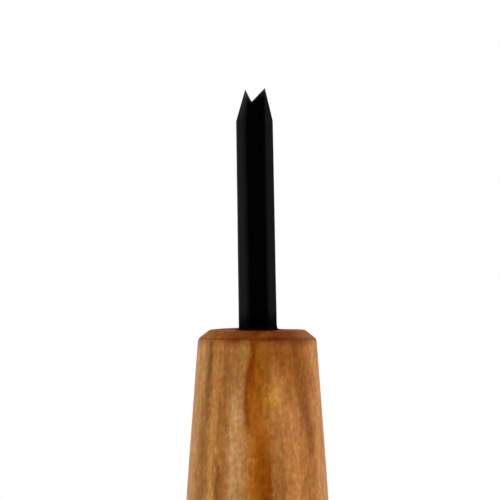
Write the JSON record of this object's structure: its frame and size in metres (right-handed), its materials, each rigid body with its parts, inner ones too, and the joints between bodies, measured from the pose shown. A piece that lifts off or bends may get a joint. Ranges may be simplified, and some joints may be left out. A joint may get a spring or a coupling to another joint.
{
  "type": "edge creaser",
  "caption": "Hand tool for creasing a line along leather edges: a blackened steel blade with a lopsided V-notched tip, set in a round turned wooden handle.",
  "frame": {"origin": "centre of the handle's butt face, which is also the bottom centre of the bounding box", "axes": "+Z along the handle's axis from the butt towards the blade's points, -Y out of the blade's broad front flat, +X towards the creasing point (the longer of the two)"},
  "size_m": [0.0224, 0.0224, 0.1399],
  "materials": {
    "blackened_steel": "oil-blackened forged steel, satin, paler where the arrises and the tip are worn",
    "turned_hardwood": "orange-brown hardwood with dark growth bands, sanded and waxed to a satin sheen",
    "black_resin": "cured black bedding resin, dull gloss"
  },
  "bodies": {
    "root": {"creaser_blade": "blackened_steel", "handle": "turned_hardwood", "tang_bedding": "black_resin"}
  },
  "joints": []
}
